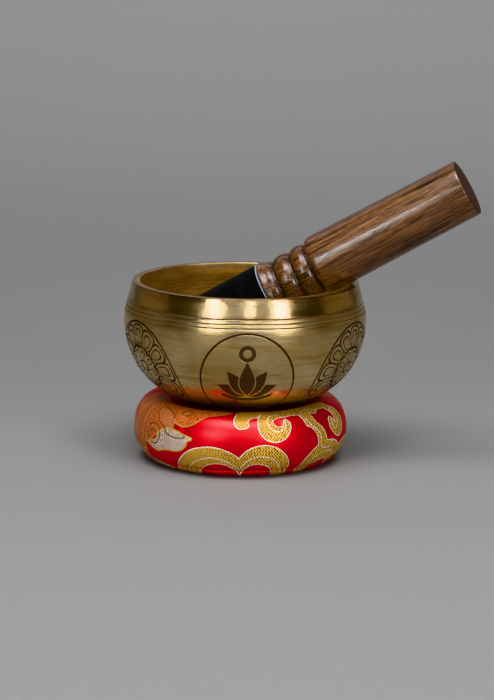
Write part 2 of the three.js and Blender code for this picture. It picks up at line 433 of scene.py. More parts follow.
@dataclass(frozen=True)
class BrushedBrass:
    """Golden bell metal, turned and brushed round its axis, darkened in its etched lines."""

    foot: float  # height of the bowl's foot
    grooves: tuple[float, ...]  # heights of the turned grooves
    shoulder: float  # height over which the metal is polished
    top: float  # height of the rim
    medallions: Medallions = Medallions()
    metal: Colour = (0.54, 0.395, 0.190)
    pale: Colour = (0.70, 0.56, 0.32)
    tarnish: Colour = (0.36, 0.21, 0.075)
    etched: Colour = (0.034, 0.013, 0.007)
    rim_stain: Colour = (0.30, 0.13, 0.05)
    lip_darkening: Colour = (0.20, 0.10, 0.04)
    dirt: float = 0.27 * MM  # half width of the dark line in each groove
    dirt_soft: float = 0.14 * MM
    relief: float = 0.12 * MM

    def material(self) -> bpy.types.Material:
        """Makes the material of the whole bowl.

        Returns:
            The material.
        """
        shade = Shade("brushed_brass", Metallic=1.0, Specular_IOR_Level=0.5)
        x, y, z = shade.axes()
        brushing = shade.noise(shade.vector(x * 28.0, y * 28.0, z * 5200.0), 1.0, 3.0, 0.6)
        bands = shade.noise(shade.vector(x * 14.0, y * 14.0, z * 620.0), 1.0, 4.0, 0.6)
        clouds = shade.noise(shade.place, 46.0, 4.0, 0.6, 0.4)
        spots = shade.ramp(shade.noise(shade.place, 420.0, 2.0, 0.5), 0.70, 0.78)
        polished = shade.ramp(z, self.shoulder - 1.5 * MM, self.shoulder + 0.5 * MM)

        # Tarnish in bands and patches, stains at the rim, and dark etching.
        colour = shade.mix(shade.ramp(clouds, 0.35, 0.75), self.metal, self.pale)
        colour = shade.mix(shade.ramp(bands, 0.45, 0.8) * 0.45, colour, self.tarnish)
        patches = shade.noise(shade.vector(x * 22.0, y * 22.0, z * 190.0), 1.0, 4.0, 0.65)
        colour = shade.mix(shade.ramp(patches, 0.50, 0.64) * 0.55, colour, self.tarnish)
        rim = shade.ramp(z, self.top - 4.0 * MM, self.top - 0.8 * MM)
        stain = shade.ramp(shade.noise(shade.place, 130.0, 4.0, 0.7), 0.54, 0.64)
        colour = shade.mix(rim * stain * 0.75, colour, self.rim_stain)
        colour = shade.mix(spots * 0.35, colour, self.tarnish)
        # The rim's top is darker all round.
        lip = shade.ramp(z, self.top - 0.9 * MM, self.top - 0.3 * MM)
        colour = shade.mix(lip * 0.7, colour, self.lip_darkening)
        lines, fill = self.etching(shade, x, y, z)
        grooves = self.groove_mask(shade, z)
        dark = lines | grooves * 0.85 | fill * 0.93
        colour = shade.mix(dark, colour, self.etched)

        # The inside is as cast, duller and blotched.
        cast = 1.0 - shade.attribute("outside")
        mottling = shade.noise(shade.vector(x * 60.0, y * 60.0, z * 160.0), 1.0, 4.0, 0.7)
        blotches = shade.ramp(mottling, 0.35, 0.7)
        colour = shade.mix(cast * (1.0 - blotches) * 0.6, colour, self.tarnish)
        colour = shade.mix(cast * blotches * 0.6, colour, self.pale)

        satin = shade.ramp(bands, 0.3, 0.8, 0.25, 0.38) + (brushing - 0.5) * 0.10
        polish = polished * (1.0 - cast) * 0.38
        worn = shade.ramp(patches, 0.42, 0.66, -0.03, 0.07)
        roughness = (satin + worn) * (1.0 - polish) + dark * 0.25 + cast * 0.16
        dents = shade.noise(shade.place, 85.0, 2.0, 0.5)
        scratches = shade.noise(shade.vector(x * 700.0, y * 700.0, z * 120.0), 1.0, 2.0, 0.6)
        height = brushing * 0.10 + bands * 0.30 + dents * 1.6 + scratches * 0.12 - (lines | fill) * 0.9
        metallic = 1.0 - dark * 0.55
        return shade.finish(colour, height, self.relief, Roughness=roughness, Metallic=metallic)

    def groove_mask(self, shade: Shade, z: Wire) -> Wire:
        """Finds the dark dirt at the bottom of the turned grooves.

        Args:
            shade: the material under construction.
            z: height.

        Returns:
            A mask.
        """
        mask = shade.line(z - self.grooves[0], self.dirt, self.dirt_soft)
        for height in self.grooves[1:]:
            mask = mask | shade.line(z - height, self.dirt, self.dirt_soft)
        return mask

    def etching(self, shade: Shade, x: Wire, y: Wire, z: Wire) -> tuple[Wire, Wire]:
        """Finds what is etched, on the outer surface only.

        Args:
            shade: the material under construction.
            x: place to the right of the bowl's axis.
            y: place behind it.
            z: height.

        Returns:
            Masks of the medallions' lines and of their filled shapes.
        """
        up = z - (self.foot + self.medallions.height)
        pitch = math.tau / self.medallions.count
        turn = y.math("ARCTAN2", x) - (math.radians(self.medallions.bloom_azimuth) - math.pi)
        turn = turn.math("FLOORED_MODULO", math.tau) - math.pi
        place = (turn / pitch).math("ROUND")
        nearer = place.math("MINIMUM", 1.0).math("MAXIMUM", -1.0)
        shift = nearer * (3.0 - abs(place)) * math.radians(self.medallions.spread / 2)
        right = (x * x + y * y).math("SQRT") * (turn - place * pitch - shift).math("SINE")
        in_front = shade.ramp(abs(place), 0.4, 0.6, 1.0, 0.0)
        border, reach = self.border(shade, right, up)
        lines = border | self.rosette(shade, right, up, reach) * (1.0 - in_front)
        fill = self.bloom(shade, right, up) * in_front
        outside = shade.ramp(shade.attribute("outside"), 0.4, 0.6)
        return lines * outside, fill * outside

    def border(self, shade: Shade, right: Wire, up: Wire) -> tuple[Wire, Wire]:
        """Draws a medallion's own circle, thicker at the top.

        Args:
            shade: the material under construction.
            right: distance to the right of the medallion's middle.
            up: distance above it.

        Returns:
            A mask of the circle, and each point's distance from the middle.
        """
        reach = (right * right + up * up).math("SQRT")
        width = shade.ramp(up, -20.0 * MM, 20.0 * MM, 0.7, 1.25)
        return shade.line((reach - self.medallions.radius) / width, self.medallions.line, 0.1 * MM), reach

    def petal(self, reach: Wire, angle: Wire, start: float, end: float, lean: float) -> Wire:
        """Shapes one rounded petal.

        Args:
            reach: distance from the flower's middle.
            angle: angle from the petal's own middle line.
            start: distance from the flower's middle at which it begins.
            end: distance at which it ends.
            lean: its width as a share of its length.

        Returns:
            Roughly the distance from its edge, below 0 inside.
        """
        middle = (start + end) / 2
        half = (end - start) / 2
        sideways = reach * angle.math("SINE")
        outward = (reach * angle.math("COSINE") - middle) / half
        width = half * lean
        bulge = 1.0 + outward * 0.35
        square = abs(outward) ** 2.5 + abs(sideways / width / bulge) ** 2.5
        return (square ** 0.4 - 1.0) * half

    def rosette(self, shade: Shade, right: Wire, up: Wire, reach: Wire) -> Wire:
        """Draws a flower with a ring of double petals round a smaller flower.

        Args:
            shade: the material under construction.
            right: distance to the right of the medallion's middle.
            up: distance above it.
            reach: distance from it.

        Returns:
            A mask of its lines.
        """
        turn = up.math("ARCTAN2", right) - math.radians(self.medallions.petal_turn)
        heart = self.medallions.heart_radius
        fine, soft = self.medallions.fine_line, self.medallions.soft
        lines = shade.line(reach - heart, fine, soft) | shade.line(reach - 2.4 * MM, fine, soft)
        # Petals in a ring, turn of the first, start, end, lean, and half width of the line.
        rings = (
            (self.medallions.petals, 0.0, heart - 0.6 * MM, 20.9 * MM, 0.74, 0.42 * MM),
            (self.medallions.petals, 0.0, heart + 0.9 * MM, 18.6 * MM, 0.58, 0.38 * MM),
            (8, 0.2, 2.6 * MM, heart - 0.4 * MM, 0.86, 0.38 * MM),
            (8, 0.2, 4.4 * MM, heart - 2.1 * MM, 0.64, 0.32 * MM),
        )
        for count, phase, start, end, lean, width in rings:
            sector = math.tau / count
            angle = (turn + (phase + math.pi)).math("FLOORED_MODULO", sector) - sector / 2
            edge = self.petal(reach, angle, start, end, lean)
            lines = lines | shade.line(edge, width, soft)
        inside = shade.ramp(reach, self.medallions.radius, self.medallions.radius + 0.6 * MM, 1.0, 0.0)
        return lines * inside

    def bloom(self, shade: Shade, right: Wire, up: Wire) -> Wire:
        """Draws the front medallion's filled shapes: a lotus bloom under a ring.

        Args:
            shade: the material under construction.
            right: distance to the right of the medallion's middle.
            up: distance above it.

        Returns:
            A mask of the shapes.
        """
        ring_place = ((right * right) + (up - 12.6 * MM) ** 2.0).math("SQRT")
        fill = shade.line(ring_place - 3.1 * MM, 1.0 * MM, 0.1 * MM)
        root = -9.5 * MM  # where the petals meet
        # Petals in pairs, the last alone: lean in degrees, length and half width in millimetres.
        for lean, length, width in ((68, 15.5, 2.9), (36, 16.5, 3.3), (0, 18.0, 3.6)):
            for way in (1, -1) if lean else (1,):
                angle = math.radians(lean * way)
                out = right * math.sin(angle) + (up - root) * math.cos(angle)
                aside = abs(right * math.cos(angle) - (up - root) * math.sin(angle))
                share = out / (length * MM)
                half = (share * (1.0 - share)).math("MAXIMUM", 0.0) * (4.0 * width * MM)
                edge = aside - half * (1.4 - share * 0.8)
                within = shade.ramp(share, 0.0, 0.02) * shade.ramp(share, 0.98, 1.0, 1.0, 0.0)
                leaf = shade.ramp(edge, -0.1 * MM, 0.1 * MM, 1.0, 0.0) * within
                rim = shade.ramp(edge, 0.5 * MM, 0.7 * MM, 1.0, 0.0) * within
                fill = fill * (1.0 - rim) | leaf
        base_place = up - root + 2.6 * MM - right * right * 20.0
        base = shade.line(base_place, 0.9 * MM, 0.1 * MM) * shade.line(right, 12.0 * MM, 0.4 * MM)
        return fill | base


@dataclass(frozen=True)
class LacqueredWood:
    """Dark streaked hardwood under clear lacquer, cut along its grain."""

    axis: Vector
    lift: Vector
    start: Vector
    length: float
    light: Colour = (0.230, 0.108, 0.043)
    middle: Colour = (0.052, 0.019, 0.0070)
    dark: Colour = (0.010, 0.0038, 0.0018)
    end_grain: Colour = (0.028, 0.009, 0.0055)
    bead_start: float = 66.0 * MM
    bead_end: float = 97.0 * MM
    groove_radius: float = 12.2 * MM
    bead_radius: float = 13.8 * MM
    relief: float = 0.10 * MM

    def material(self) -> bpy.types.Material:
        """Makes the material of the mallet's wooden part.

        Returns:
            The material.
        """
        shade = Shade("lacquered_wood", Coat_Roughness=0.20, Specular_IOR_Level=0.6)
        side = self.axis.cross(self.lift)
        far = shade.along(self.axis, self.start)
        rise = shade.along(self.lift, self.start)
        across = shade.along(side, self.start)

        # Growth rings round a heart outside the stick, with fibres, veins and pores along it.
        wobble = shade.noise(shade.vector(far * 14.0, rise * 45.0, across * 45.0), 1.0, 3.0, 0.55)
        ring_place = (rise + 0.024) ** 2.0 + (across * 1.1 + 0.015) ** 2.0
        rings = ring_place.math("SQRT") * 1500.0 + wobble * 9.0
        figure = shade.ramp(rings.math("SINE"), -1.0, 0.9)
        streaks = shade.noise(shade.vector(far * 42.0, rise * 1500.0, across * 1500.0), 1.0, 4.0, 0.7)
        broad = shade.noise(shade.vector(far * 11.0, rise * 190.0, across * 190.0), 1.0, 3.0, 0.6)
        pores = shade.noise(shade.vector(far * 210.0, rise * 3200.0, across * 3200.0), 1.0, 1.0, 0.5)
        pore = shade.ramp(pores, 0.57, 0.65)
        fibre = shade.ramp(streaks, 0.38, 0.62)
        vein = shade.noise(shade.vector(far * 13.0, rise * 520.0, across * 520.0), 1.0, 4.0, 0.65)
        colour = shade.mix(fibre * 0.8 + figure * 0.2, self.middle, self.light)
        shadow = shade.ramp(broad, 0.47, 0.68) * (1.0 - fibre * 0.6)
        colour = shade.mix(shadow * 0.8 | shade.ramp(vein, 0.54, 0.64) * 0.95, colour, self.dark)
        colour = shade.mix(pore * 0.75, colour, self.dark)

        # Painted shade in the grooves between the beads, and darker wood at the cut end.
        reach = (rise * rise + across * across).math("SQRT")
        groove_shade = shade.ramp(reach, self.groove_radius, self.bead_radius, 1.0, 0.0)
        turned = shade.ramp(far, self.bead_start, self.bead_start + 0.5 * MM)
        turned = turned * shade.ramp(far, self.bead_end - 1.0 * MM, self.bead_end, 1.0, 0.0)
        colour = shade.mix(groove_shade * turned * 0.8, colour, self.dark)
        end = shade.ramp(far, self.length - 0.45 * MM, self.length - 0.1 * MM)
        colour = shade.mix(end * 0.85, colour, self.end_grain)

        height = (1.0 - pore) * 0.6 + streaks * 0.4
        roughness = shade.ramp(streaks, 0.3, 0.7, 0.22, 0.36) | end * 0.6
        coat = (1.0 - end * 0.85) * 0.30
        return shade.finish(colour, height, self.relief, Roughness=roughness, Coat_Weight=coat)


@dataclass(frozen=True)
class Suede:
    """Black suede with short nap, and a pale core at its cut edge."""

    axis: Vector
    start: Vector
    length: float
    nap: Colour = (0.0045, 0.0045, 0.0045)
    worn: Colour = (0.020, 0.019, 0.019)
    core: Colour = (0.30, 0.37, 0.46)
    relief: float = 0.12 * MM

    def material(self) -> bpy.types.Material:
        """Makes the sleeve's material.

        Returns:
            The material.
        """
        shade = Shade("suede", Sheen_Weight=0.06, Sheen_Roughness=0.5, Specular_IOR_Level=0.12)
        far = shade.along(self.axis, self.start)
        fibre = shade.noise(shade.place, 2600.0, 3.0, 0.7)
        patches = shade.noise(shade.place, 120.0, 3.0, 0.6)
        flecks = shade.ramp(fibre, 0.52, 0.72) * 0.7
        colour = shade.mix(flecks | shade.ramp(patches, 0.45, 0.8) * 0.5, self.nap, self.worn)
        ragged = far + (patches - 0.5) * 0.5 * MM
        edge = shade.ramp(ragged, self.length - 0.6 * MM, self.length - 0.3 * MM)
        colour = shade.mix(edge * 0.9, colour, self.core)
        height = fibre * 0.7 + patches * 0.3
        return shade.finish(colour, height, self.relief, Roughness=patches * 0.1 + 0.85)


class Yarn(Enum):
    """The metal and coloured wefts that the brocade's pictures are woven in, in the order they lie."""

    CORAL = "coral"
    SILVER = "silver"
    GOLD = "gold"


@dataclass(frozen=True)
class Weave:
    """How one yarn shows."""

    light: Colour
    dark: Colour
    outline: Colour
    half_width: float  # of the outline, in millimetres
    metal: float
    ragged: float  # how uneven its two tones are


WEAVES = {
    Yarn.CORAL: Weave((0.66, 0.20, 0.06), (0.38, 0.006, 0.006), (0.72, 0.40, 0.13), 0.28, 0.35, 1.7),
    Yarn.SILVER: Weave((1.0, 0.96, 0.88), (0.42, 0.18, 0.08), (0.80, 0.50, 0.09), 0.34, 0.50, 0.8),
    Yarn.GOLD: Weave((1.0, 0.64, 0.14), (0.17, 0.026, 0.003), (0.97, 0.86, 0.72), 0.27, 0.60, 1.4),
}


@dataclass(frozen=True)
class Brocade:
    """Red satin with pictures woven in metal yarns, each with a stepped outline."""

    ground: Colour = (0.87, 0.004, 0.015)
    ground_dark: Colour = (0.50, 0.002, 0.009)
    ground_metal: float = 0.94
    outline_metal: float = 0.5
    coral_line: Colour = (0.80, 0.34, 0.10)  # loose curved lines inside the coral pictures
    silver_line: Colour = (0.40, 0.15, 0.035)  # and inside the silver ones
    vein: Colour = (0.13, 0.052, 0.008)
    vein_side: Colour = (0.66, 0.42, 0.24)  # inside each vein
    painted_seat_shade: Colour = (0.05, 0.001, 0.002)  # painted shade on the cloth under the bowl
    painted_seat_shade_reach: tuple[float, float] = (34.0 * MM, 41.0 * MM)  # from the bowl's axis, where the painted shade ends
    painted_seat_shade_height: tuple[float, float] = (18.0 * MM, 24.0 * MM)  # where the painted shade starts
    row: float = 0.85  # spacing of the woven rows, in millimetres on the cloth
    stitch: float = 1.45  # length of a stitch in a row, in millimetres
    step: float = 0.34  # how far a picture's edge is jagged by the yarns, in millimetres
    relief: float = 0.34 * MM

    def material(self) -> bpy.types.Material:
        """Makes the material of both covers. Distances on the cloth are in millimetres.

        Returns:
            The material.
        """
        shade = Shade("brocade", Specular_IOR_Level=0.22)
        cloth = shade.node("ShaderNodeUVMap", {"uv_map": "cloth"}, {}).outputs[0]
        right, up, _ = shade.axes(cloth)

        # The yarns' steps, the satin's floating threads, and the brickwork of the metal yarns.
        cell = shade.vector((right * 2.1).math("FLOOR"), (up * 2.6).math("FLOOR"), 0.0)
        jitter = shade.wire("ShaderNodeTexWhiteNoise", {"noise_dimensions": "2D"}, {"Vector": cell})
        stepped = (jitter - 0.5) * self.step
        floats = shade.noise(shade.vector(right * 0.7, up * 6.0, 0.0), 1.0, 3.0, 0.65)
        rows = up / self.row
        row = rows.math("FLOOR")
        within = abs(rows.math("FRACT") - 0.5)
        shift = shade.wire("ShaderNodeTexWhiteNoise", {"noise_dimensions": "1D"}, {"W": row})
        brick = (right / self.stitch + shift * 0.35 + row * 0.5).math("FRACT")
        furrow = shade.ramp(within, 0.30, 0.46)
        binding = shade.ramp(abs(brick - 0.5), 0.28, 0.36) * (1.0 - furrow) | furrow * 0.35

        # Uneven tones inside the pictures, and loose curved lines.
        slanted = shade.vector(right * 0.8 + up * 0.5, up * 1.7 - right * 0.5, 0.0)
        flecks = shade.noise(slanted, 1.0, 2.0, 0.6)
        curls = shade.noise(shade.vector(right * 0.42, up * 0.55, 0.0), 1.0, 1.0, 0.5)
        swirls = shade.noise(shade.vector(right * 0.50, up * 0.60, 7.0), 1.0, 1.0, 0.5)
        squiggle = shade.line(curls - 0.5, 0.026, 0.02) | shade.line(swirls - 0.5, 0.026, 0.02)

        colour = shade.mix(floats * 0.6, self.ground, self.ground_dark)
        metal: Wire | float = 0.0
        for yarn, weave in WEAVES.items():
            distance = shade.attribute(yarn.value) + stepped
            inside = shade.ramp(distance, -0.1, 0.1, 1.0, 0.0)
            outline = shade.line(distance, weave.half_width, 0.07)
            dark = shade.ramp(binding * 0.8 + (flecks - 0.45) * weave.ragged * 1.6, 0.25, 0.5)
            woven = shade.mix(dark, weave.light, weave.dark)
            colour = shade.mix(inside, colour, woven)
            colour = shade.mix(outline * 0.92, colour, weave.outline)
            metal = (1.0 - inside) * metal + inside * weave.metal
            metal = metal | outline * self.outline_metal
            inner = inside * (1.0 - outline)
            if yarn is Yarn.CORAL:
                pale = inner
                colour = shade.mix(squiggle * inner * 0.6, colour, self.coral_line)
            elif yarn is Yarn.SILVER:
                pale = pale | inner
                colour = shade.mix(squiggle * inner * 0.65, colour, self.silver_line)
                vein = shade.attribute("vein") + stepped
                tint = shade.ramp(vein, -0.6, 0.0, 0.26, 0.0) * (1.0 - dark * 0.6) * pale
                colour = shade.mix(tint, colour, self.vein_side)
                colour = shade.mix(shade.line(vein, 0.32, 0.1) * pale * 0.9, colour, self.vein)
            else:
                trace = shade.line(shade.attribute("trace") + stepped, 0.26, 0.1) * inner
                colour = shade.mix(trace * 0.9, colour, weave.outline)

        # Painted shade on the cloth under the bowl, fading out towards the crest.
        x, y, z = shade.axes()
        painted_seat_shade = shade.ramp((x * x + y * y).math("SQRT"), *self.painted_seat_shade_reach, 0.70, 0.0)
        colour = shade.mix(painted_seat_shade * shade.ramp(z, *self.painted_seat_shade_height), colour, self.painted_seat_shade)

        raised = shade.ramp(metal, 0.05, 0.3)
        relief = raised * 0.5 + raised * (1.0 - binding) * 0.35 + floats * 0.1
        roughness = 0.39 + floats * 0.12 - raised * 0.04
        metallic = metal + (1.0 - raised) * self.ground_metal
        return shade.finish(colour, relief, self.relief, Roughness=roughness, Metallic=metallic)


def plain_material(name: str, colour: Colour, roughness: float, grain: float) -> bpy.types.Material:
    """Makes a matt material with a fine grain, for wadding, thread and the floor.

    Args:
        name: the material's name.
        colour: its lighter tone.
        roughness: its roughness, on average.
        grain: how fine the grain is.

    Returns:
        The material.
    """
    shade = Shade(name, Specular_IOR_Level=0.3)
    mottle = shade.noise(shade.place, grain, 4.0, 0.6)
    darker = tuple(part * 0.8 for part in colour)
    tone = shade.mix(mottle, darker, colour)
    rough = mottle * 0.1 + (roughness - 0.05)
    return shade.finish(tone, mottle, 0.05 * MM, Roughness=rough)


# ---- Bowl --------------------------------------------------------------------------------------


@dataclass
class Bowl:
    """The metal bowl, a body of revolution that stands on the cushion's seat."""

    belly_drop: float = 20.5 * MM  # from the rim to the widest part
    heel_height: float = 13.9 * MM
    heel_inset: float = 9.0 * MM
    heel_angle: float = 50.0  # degrees, of the side there
    foot_radius: float = 21.0 * MM
    shoulder_drop: float = 12.5 * MM
    shoulder_lean: float = 14.5  # degrees from upright
    rim_inset: float = 4.2 * MM  # from the widest part to the rim's top
    rim_width: float = 3.5 * MM
    rim_chamfer: float = 0.6 * MM
    rim_depth: float = 5.0 * MM  # how far down the inside is thickened
    lip_round: float = 0.5 * MM
    wall: float = 2.8 * MM
    band_drops: tuple[float, ...] = (7.5 * MM, 5.5 * MM, 3.5 * MM, 1.6 * MM)
    groove_drops: tuple[float, ...] = (9.4 * MM, 11.6 * MM, 13.6 * MM)
    groove_width: float = 0.8 * MM
    groove_depth: float = 0.35 * MM
    segments: int = 256

    def __post_init__(self) -> None:
        """Takes the overall size and the place from the frame."""
        low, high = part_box("bowl")
        self.foot = low.z
        self.height = high.z - low.z
        self.radius = high.x

    def shoulder(self, height: float) -> Vector:
        """A point of the straight shoulder."""
        top = point(self.radius - self.rim_inset + self.rim_chamfer * 0.7, self.height - self.rim_chamfer)
        return point(top.x + math.tan(math.radians(self.shoulder_lean)) * (top.z - height), height)

    def belly(self, steps: int) -> Profile:
        """Draws the outer surface from the foot's edge up to the straight shoulder.

        Args:
            steps: how many points its lower two stretches have.

        Returns:
            Its points.
        """
        heel = point(self.radius - self.heel_inset, self.heel_height)
        widest = point(self.radius, self.height - self.belly_drop)
        top = self.shoulder(self.height - self.shoulder_drop)
        lean = 90.0 + self.shoulder_lean
        return joined(
            bend(point(self.foot_radius, 0.0), 4.0, heel, self.heel_angle, steps, 0.36),
            bend(heel, self.heel_angle, widest, 90.0, steps, 0.33),
            bend(widest, 90.0, top, lean, steps // 2),
        )

    def groove(self, drop: float) -> Profile:
        """Draws one turned groove with rounded lips.

        Args:
            drop: how far below the rim it lies.

        Returns:
            Its points, from its lower lip to its upper lip.
        """
        middle = self.shoulder(self.height - drop)
        half = self.groove_width / 2
        bottom = point(middle.x - self.groove_depth, middle.z)
        lean = 90.0 + self.shoulder_lean
        return joined(
            bend(self.shoulder(middle.z - half), lean, bottom, 115.0, 5, 0.45),
            bend(bottom, 65.0, self.shoulder(middle.z + half), lean, 5, 0.45),
        )

    def outside(self) -> Profile:
        """Draws the outer surface.

        Returns:
            Its points, from the middle of the foot up to the rim.
        """
        belly = self.belly(22)
        drops = sorted(self.groove_drops, reverse=True)
        lowest = self.height - drops[0] - self.groove_width
        side = [here for here in belly if here.z < lowest]
        lean = 90.0 + self.shoulder_lean
        outer_edge = self.shoulder(self.height - self.rim_chamfer)
        top = point(self.radius - self.rim_inset, self.height)
        foot = [point(self.foot_radius * share, 0.0) for share in (0.0, 0.3, 0.6, 0.85)]
        return joined(
            foot,
            side,
            *[self.groove(drop) for drop in drops],
            [self.shoulder(self.height - drop) for drop in self.band_drops],
            bend(outer_edge, lean, top, 180.0, 6, 0.5),
        )

    def inside(self) -> Profile:
        """Draws the inner surface.

        Returns:
            Its points, from the middle of the floor up to the rim.
        """
        floor = [point(self.foot_radius * share, self.wall) for share in (0.0, 0.3, 0.6)]
        wall = inset(self.belly(22), self.wall)
        mouth = self.radius - self.rim_inset - self.rim_width
        band = point(mouth + self.rim_chamfer, self.height - self.rim_depth)
        edge = point(mouth, self.height - self.lip_round)
        top = point(edge.x + self.lip_round, self.height)
        return joined(
            floor,
            wall,
            bend(wall[-1], 92.0, band, 105.0, 4),
            bend(band, 95.0, edge, 90.0, 4),
            bend(edge, 90.0, top, 0.0, 5, 0.5),
        )

    def build(self) -> bpy.types.Object:
        """Makes the bowl and puts it on its body.

        Returns:
            The bowl.
        """
        mesh = spun(joined(self.outside(), list(reversed(self.inside()))), self.segments)
        bmesh.ops.translate(mesh, verts=mesh.verts, vec=(0.0, 0.0, self.foot))
        top = self.foot + self.height
        finish = BrushedBrass(
            foot=self.foot,
            grooves=tuple(top - drop for drop in self.groove_drops),
            shoulder=top - self.groove_drops[0],
            top=top,
        )
        bowl = finished("singing_bowl", mesh, finish.material())
        self.mark_outside(bowl.data)
        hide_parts("bowl")
        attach(bowl, "bowl")
        return bowl

    def mark_outside(self, data: bpy.types.Mesh) -> None:
        """Flags the points of the outer surface, which is etched, with 1 and the inner ones with 0.

        Args:
            data: the bowl's mesh.
        """
        outline = self.outside()
        heights = [here.z for here in outline]
        radii = [here.x for here in outline]
        flags = data.attributes.new("outside", "FLOAT", "POINT")
        for corner, flag in zip(data.vertices, flags.data):
            reach = math.hypot(corner.co.x, corner.co.y)
            surface = np.interp(corner.co.z - self.foot, heights, radii)
            flag.value = float(reach > surface - self.wall / 2)


# ---- Mallet ------------------------------------------------------------------------------------


@dataclass
class Mallet:
    """The turned mallet, built along +Z from its tip and then laid along its axis."""

    suede_length: float = 68.0 * MM
    suede_radius: float = 14.7 * MM
    suede_thickness: float = 1.5 * MM
    gap: float = 0.3 * MM  # between the wood and the suede
    handle_radius: float = 15.0 * MM
    handle_end_radius: float = 14.4 * MM
    end_round: float = 1.3 * MM
    grip_length: float = 84.7 * MM
    grip_shoulder: float = 7.0 * MM
    bead_grooves: tuple[float, ...] = (7.8 * MM, 17.2 * MM, 26.2 * MM)  # from the suede's end
    groove_depth: float = 3.1 * MM
    bead_drop: float = 1.2 * MM
    bead_leave: float = 46.0  # degrees, of a bead's side where it leaves a groove
    bead_arrive: float = 136.0  # and where it comes down to the next
    bead_fullness: float = 0.38
    core_chamfer: float = 0.4 * MM
    cut_round: float = 0.35 * MM  # of the suede's cut edges
    segments: int = 128

    def __post_init__(self) -> None:
        """Takes the axis from the joint, and the tip from the sleeve's end."""
        joint = next(j for j in frame["joints"] if j["name"] == "mallet_draw")
        self.axis = Vector(joint["axis"]).normalized()
        self.lift = (UP - self.axis * UP.dot(self.axis)).normalized()
        places = [v.co.copy() for v in frame["nodes"]["mallet_suede_sleeve"].data.vertices]
        nearest = min(place.dot(self.axis) for place in places)
        ring = [place for place in places if place.dot(self.axis) < nearest + 0.5 * MM]
        low = Vector([min(place[i] for place in ring) for i in range(3)])
        high = Vector([max(place[i] for place in ring) for i in range(3)])
        self.tip = (low + high) / 2
        self.last_groove = self.suede_length + max(self.bead_grooves)
        self.length = self.last_groove + self.grip_length

    def laid(self, mesh: bmesh.types.BMesh) -> bmesh.types.BMesh:
        """Turns a mesh from the Z axis onto the mallet's own axis.

        Args:
            mesh: a shape that starts at the origin and runs up.

        Returns:
            The same mesh.
        """
        turn = UP.rotation_difference(self.axis).to_matrix().to_4x4()
        bmesh.ops.transform(mesh, matrix=Matrix.Translation(self.tip) @ turn, verts=mesh.verts)
        return mesh

    def beads(self) -> Profile:
        """Draws the three rounded beads, each with a narrow groove after it.

        Returns:
            Their points, from the suede's end to the last groove.
        """
        full = self.bead_fullness
        start = point(self.suede_radius - 0.1 * MM, self.suede_length + self.gap)
        floor = self.handle_radius - self.groove_depth
        outline: Profile = []
        for distance in self.bead_grooves:
            end = point(floor, self.suede_length + distance)
            top = point(self.handle_radius - self.bead_drop, start.z * 0.45 + end.z * 0.55)
            rise = bend(start, self.bead_leave, top, 90.0, 9, full)
            fall = bend(top, 90.0, end, self.bead_arrive, 9, full)
            outline = joined(outline, rise, fall)
            start = end
        return outline

    def wood(self) -> bpy.types.Object:
        """Makes the wooden part, with the core that runs inside the suede.

        Returns:
            The wooden part.
        """
        core = self.suede_radius - self.suede_thickness - self.gap
        grip = point(self.handle_radius, self.last_groove + self.grip_shoulder)
        groove = point(self.handle_radius - self.groove_depth, self.last_groove)
        edge = point(self.handle_end_radius, self.length - self.end_round)
        face = point(self.handle_end_radius - self.end_round, self.length)
        outline = joined(
            [point(0.0, 0.0), point(core - self.core_chamfer, 0.0), point(core, self.core_chamfer)],
            [point(core, self.suede_length + self.gap)],
            self.beads(),
            bend(groove, 15.0, grip, 90.0, 12, 0.5),
            [grip.lerp(edge, share) for share in (0.25, 0.5, 0.75)],
            bend(edge, 90.0, face, 180.0, 7, 0.5),
            [point(face.x * share, self.length) for share in (0.6, 0.3, 0.0)],
        )
        mesh = self.laid(spun(outline, self.segments))
        material = LacqueredWood(self.axis, self.lift, self.tip, self.length).material()
        wood = finished("mallet_wood", mesh, material)
        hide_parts("mallet_handle")
        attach(wood, "mallet")
        return wood

    def suede(self) -> bpy.types.Object:
        """Makes the suede sleeve, with softly rounded cut edges.

        Returns:
            The sleeve.
        """
        inner = self.suede_radius - self.suede_thickness
        soft = self.cut_round
        outline = [
            point(inner, 0.0),
            point(self.suede_radius - soft, 0.0),
            point(self.suede_radius, soft),
            point(self.suede_radius, self.suede_length / 3),
            point(self.suede_radius, self.suede_length * 2 / 3),
            point(self.suede_radius, self.suede_length - soft),
            point(self.suede_radius - soft, self.suede_length),
            point(inner, self.suede_length),
        ]
        mesh = self.laid(spun(outline, self.segments, closed=True))
        material = Suede(self.axis, self.tip, self.suede_length).material()
        sleeve = finished("mallet_suede", mesh, material)
        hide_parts("mallet_suede_sleeve")
        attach(sleeve, "mallet")
        return sleeve


# ---- Brocade pictures --------------------------------------------------------------------------

FAR = 6.0  # millimetres: beyond this, distances to a picture's edge aren't needed


@dataclass(frozen=True)
class Disc:
    """A round lobe on the cloth: its middle and its radius, in millimetres."""

    across: float
    up: float
    radius: float

    def distance(self, across: np.ndarray, up: np.ndarray) -> np.ndarray:
        """Signed distance to its edge, below 0 inside."""
        return np.hypot(across - self.across, up - self.up) - self.radius


